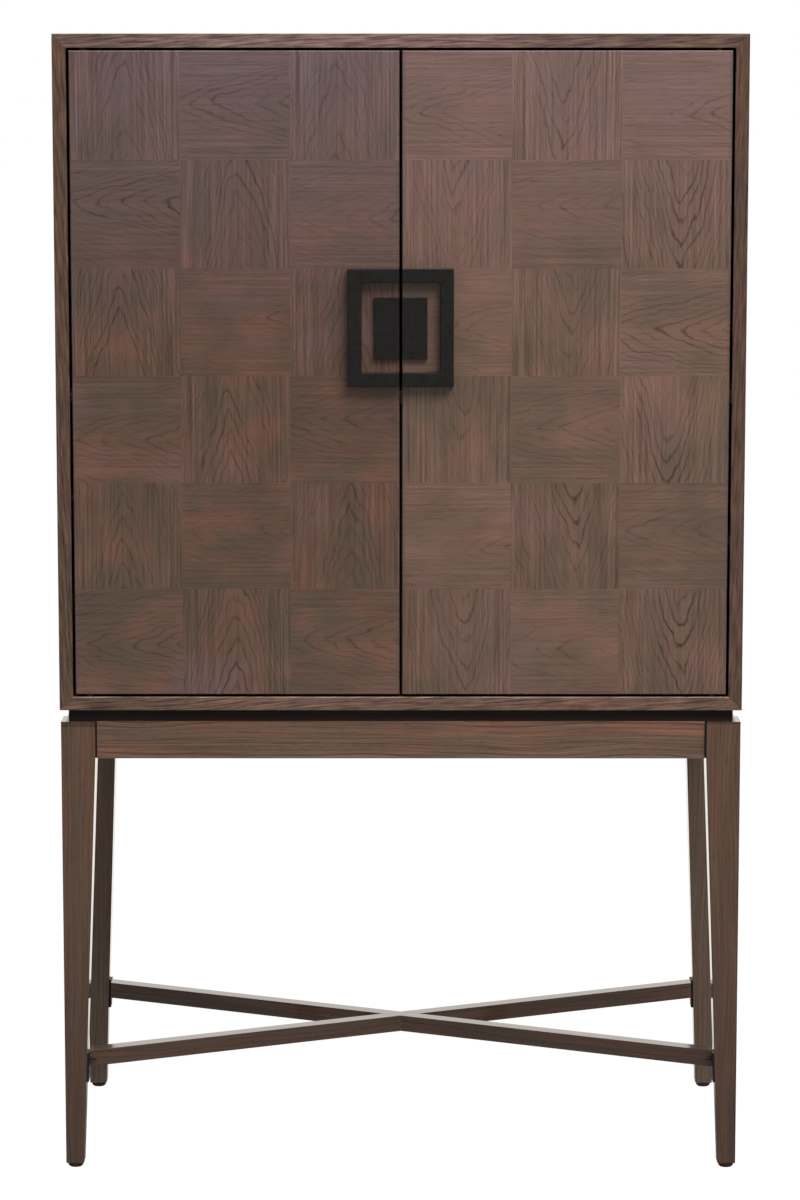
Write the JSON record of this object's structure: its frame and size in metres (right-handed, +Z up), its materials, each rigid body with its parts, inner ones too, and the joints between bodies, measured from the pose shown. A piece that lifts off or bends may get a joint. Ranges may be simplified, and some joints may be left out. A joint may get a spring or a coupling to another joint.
{
  "type": "bar cabinet",
  "caption": "Chequered oak bar cabinet on tapered legs: double doors with a framed pull, bottle rack, mirror, stemware rails and a fold-out shelf.",
  "frame": {"origin": "on the floor under the middle of the whole object, pulls included", "axes": "+X towards the right side seen from the front, +Y from the doors to the back, +Z up"},
  "size_m": [0.9, 0.454, 1.508],
  "materials": {
    "veneer": "stained oak veneer laid in a chequer of turned squares, gloss lacquer",
    "stained_oak": "stained oak, straight grain, gloss lacquer",
    "dark_plinth": "black-brown stained wood, satin",
    "pale_oak": "clear lacquered inner fittings, satin",
    "block_wood": "unfinished hardwood glue blocks",
    "black_metal": "black bronze lacquer, satin",
    "plated_steel": "zinc plated, satin",
    "brass": "satin brass",
    "glide": "dark brown plastic",
    "bumper": "matt",
    "magnet_case": "brown plastic",
    "mirror": "silvered glass"
  },
  "bodies": {
    "case": {"case_top": "stained_oak", "case_bottom": "stained_oak", "case_left_side": "stained_oak", "case_right_side": "stained_oak", "back_panel": "pale_oak", "back_panel_screws": "plated_steel", "plinth_front_rail": "dark_plinth", "plinth_rear_rail": "dark_plinth", "plinth_side_rails": "dark_plinth", "plinth_blocks": "block_wood", "front_left_leg": "stained_oak", "front_right_leg": "stained_oak", "rear_right_leg": "stained_oak", "rear_left_leg": "stained_oak", "front_apron": "stained_oak", "rear_apron": "stained_oak", "left_apron": "stained_oak", "right_apron": "stained_oak", "corner_blocks": "block_wood", "case_bolts": "plated_steel", "foot_glides": "glide", "stretcher_bar_a": "stained_oak", "stretcher_bar_b": "stained_oak", "stretcher_straps": "black_metal", "stretcher_screws": "black_metal", "counter_shelf": "pale_oak", "centre_divider": "pale_oak", "bottle_rack": "pale_oak", "lower_shelf": "pale_oak", "shelf_pins": "plated_steel", "mirror_stile": "pale_oak", "mirror_panes": "mirror", "stemware_rails": "pale_oak", "leaf_bumpers": "bumper", "case_pivot_plates": "black_metal", "case_pivot_pins": "black_metal", "case_hinge_screws": "plated_steel", "magnetic_catches": "magnet_case", "counter_hinge_plates": "brass", "leaf_hinge_pins": "brass"},
    "left_door": {"left_door_panel": "veneer", "left_handle_frame": "black_metal", "left_handle_plate": "black_metal", "left_handle_screws": "black_metal", "left_door_pivot_plates": "black_metal", "left_door_screws": "plated_steel", "left_strike_plate": "plated_steel"},
    "right_door": {"right_door_panel": "veneer", "right_handle_frame": "black_metal", "right_handle_plate": "black_metal", "right_handle_screws": "black_metal", "right_door_pivot_plates": "black_metal", "right_door_screws": "plated_steel", "right_strike_plate": "plated_steel"},
    "left_shelf_leaf": {"left_leaf": "pale_oak", "left_leaf_hinge_plates": "brass", "left_leaf_screws": "brass"},
    "right_shelf_leaf": {"right_leaf": "pale_oak", "right_leaf_hinge_plates": "brass", "right_leaf_screws": "brass"}
  },
  "joints": [
    {"name": "left_door_hinge", "type": "hinge", "parent": "case", "child": "left_door", "pos_m": [-0.4104, -0.205, 1.066], "axis": [0, 0, -1], "range_deg": [0, 120]},
    {"name": "right_door_hinge", "type": "hinge", "parent": "case", "child": "right_door", "pos_m": [0.4104, -0.205, 1.066], "axis": [0, 0, 1], "range_deg": [0, 120]},
    {"name": "left_leaf_hinge", "type": "hinge", "parent": "case", "child": "left_shelf_leaf", "pos_m": [-0.1812, -0.1804, 1.0478], "axis": [1, 0, 0], "range_deg": [0, 180]},
    {"name": "right_leaf_hinge", "type": "hinge", "parent": "case", "child": "right_shelf_leaf", "pos_m": [0.1812, -0.1804, 1.0478], "axis": [1, 0, 0], "range_deg": [0, 180]}
  ],
  "couplings": [
    {"joint": "left_leaf_hinge", "follows": "left_door_hinge", "ratio": 1.5},
    {"joint": "right_leaf_hinge", "follows": "right_door_hinge", "ratio": 1.5}
  ]
}
